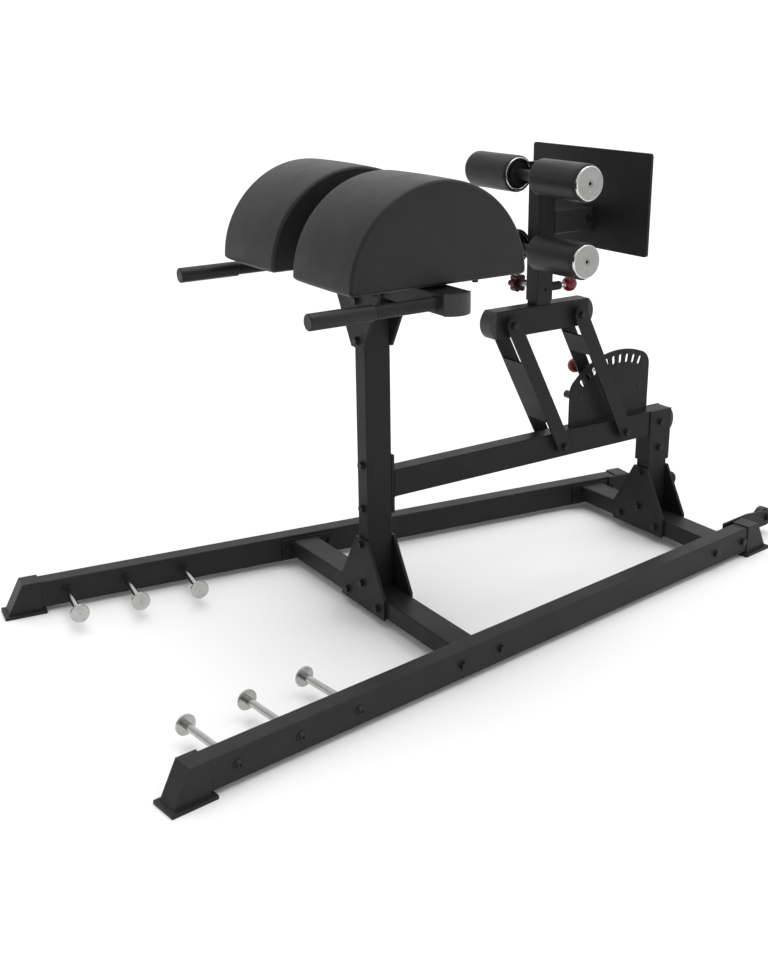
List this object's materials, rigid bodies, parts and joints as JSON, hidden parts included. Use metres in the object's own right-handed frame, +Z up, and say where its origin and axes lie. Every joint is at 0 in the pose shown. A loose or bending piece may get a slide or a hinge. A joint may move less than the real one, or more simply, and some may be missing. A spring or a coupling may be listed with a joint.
{
  "type": "glute ham developer",
  "caption": "Free-standing glute ham developer: splayed tube base, D-shaped torso pads on an upright, and a swinging parallelogram carrying ankle rollers and a foot plate.",
  "frame": {"origin": "on the floor, in the middle of the whole part's length and width", "axes": "+Z up, +X along the base towards the foot plate and transport wheels, +Y towards the side with the index plate and knobs"},
  "size_m": [2.1666, 1.1554, 1.1762],
  "materials": {
    "frame_paint": "satin black powder coat",
    "black_fastener": "black zinc",
    "black_plastic": "matte",
    "black_rubber": "matte",
    "roller_foam": "smooth skin",
    "satin_alloy": "satin",
    "pad_vinyl": "matte grained vinyl",
    "board_wood": "raw plywood",
    "bright_chrome": "polished",
    "red_plastic": "gloss"
  },
  "bodies": {
    "frame": {"rail_near": "frame_paint", "rail_far": "frame_paint", "front_feet": "frame_paint", "rear_feet": "frame_paint", "front_crossbeam": "frame_paint", "rear_crossbeam": "frame_paint", "rail_bolts": "black_fastener", "main_upright": "frame_paint", "rear_upright": "frame_paint", "base_gussets": "frame_paint", "top_gussets": "frame_paint", "gusset_bolts": "black_fastener", "boom": "frame_paint", "boom_saddle": "frame_paint", "boom_bolts": "black_fastener", "cross_tube": "frame_paint", "tube_end_caps": "black_plastic", "handle_rods": "frame_paint", "handle_grips": "black_rubber", "pad_plates": "frame_paint", "pad_boards": "board_wood", "pad_near": "pad_vinyl", "pad_far": "pad_vinyl", "pad_bolts": "black_fastener", "band_pegs": "bright_chrome", "peg_fasteners": "black_fastener", "index_plate": "frame_paint", "rubber_stops": "black_rubber", "stop_bolts": "black_fastener", "lower_pivot_bolts": "black_fastener", "wheel_brackets": "frame_paint", "wheel_bolts": "black_fastener"},
    "wheel_near": {"wheel_near": "black_rubber"},
    "wheel_far": {"wheel_far": "black_rubber"},
    "front_link": {"front_link": "frame_paint"},
    "rear_link": {"rear_link": "frame_paint"},
    "link_pin": {"link_pin": "bright_chrome", "link_pin_ball": "red_plastic"},
    "carriage": {"carriage_tube": "frame_paint", "carriage_caps": "black_plastic", "inner_post": "frame_paint", "upper_pivot_bolts": "black_fastener"},
    "roller_post": {"roller_sleeve": "frame_paint", "roller_axles": "frame_paint", "foot_plate": "frame_paint", "foot_plate_arm": "frame_paint", "foot_plate_bolt": "black_fastener"},
    "height_pin": {"height_pin": "bright_chrome", "height_pin_ball": "red_plastic"},
    "star_knob": {"star_knob": "red_plastic"},
    "roller_high_near": {"roller_high_near": "roller_foam", "hub_high_near": "satin_alloy"},
    "roller_high_far": {"roller_high_far": "roller_foam", "hub_high_far": "satin_alloy"},
    "roller_low_near": {"roller_low_near": "roller_foam", "hub_low_near": "satin_alloy"},
    "roller_low_far": {"roller_low_far": "roller_foam", "hub_low_far": "satin_alloy"}
  },
  "joints": [
    {"name": "rear_link_swing", "type": "hinge", "parent": "frame", "child": "rear_link", "pos_m": [0.61933, 0, 0.363], "axis": [0, -1, 0], "range_deg": [-48.3, 13.8]},
    {"name": "front_link_swing", "type": "hinge", "parent": "frame", "child": "front_link", "pos_m": [0.38533, 0, 0.363], "axis": [0, -1, 0], "range_deg": [-48.3, 13.8]},
    {"name": "carriage_pivot", "type": "hinge", "parent": "rear_link", "child": "carriage", "pos_m": [0.42865, 0, 0.73722], "axis": [0, -1, 0], "range_deg": [-13.8, 48.3]},
    {"name": "post_height", "type": "slide", "parent": "carriage", "child": "roller_post", "axis": [0, 0, 1], "range_m": [0, 0.15]},
    {"name": "link_pin_slide", "type": "slide", "parent": "rear_link", "child": "link_pin", "axis": [0, -1, 0], "range_m": [0, 0.0066]},
    {"name": "height_pin_slide", "type": "slide", "parent": "roller_post", "child": "height_pin", "axis": [-1, 0, 0], "range_m": [0, 0.012]},
    {"name": "star_knob_turn", "type": "hinge", "parent": "roller_post", "child": "star_knob", "pos_m": [0.31315, 0, 0.81672], "axis": [0, 1, 0], "range_deg": [0, 270]},
    {"name": "roller_high_near_spin", "type": "hinge", "parent": "roller_post", "child": "roller_high_near", "pos_m": [0.27175, 0, 1.11722], "axis": [0, 1, 0], "continuous": true},
    {"name": "roller_high_far_spin", "type": "hinge", "parent": "roller_post", "child": "roller_high_far", "pos_m": [0.27175, 0, 1.11722], "axis": [0, 1, 0], "continuous": true},
    {"name": "roller_low_near_spin", "type": "hinge", "parent": "roller_post", "child": "roller_low_near", "pos_m": [0.27175, 0, 0.92472], "axis": [0, 1, 0], "continuous": true},
    {"name": "roller_low_far_spin", "type": "hinge", "parent": "roller_post", "child": "roller_low_far", "pos_m": [0.27175, 0, 0.92472], "axis": [0, 1, 0], "continuous": true},
    {"name": "wheel_near_spin", "type": "hinge", "parent": "frame", "child": "wheel_near", "pos_m": [1.05327, -0.20235, 0.054], "axis": [0.1323, -0.9912, 0], "continuous": true},
    {"name": "wheel_far_spin", "type": "hinge", "parent": "frame", "child": "wheel_far", "pos_m": [1.05327, 0.20235, 0.054], "axis": [0.1323, 0.9912, 0], "continuous": true}
  ],
  "couplings": [
    {"joint": "front_link_swing", "follows": "rear_link_swing", "ratio": 1},
    {"joint": "carriage_pivot", "follows": "rear_link_swing", "ratio": -1}
  ]
}
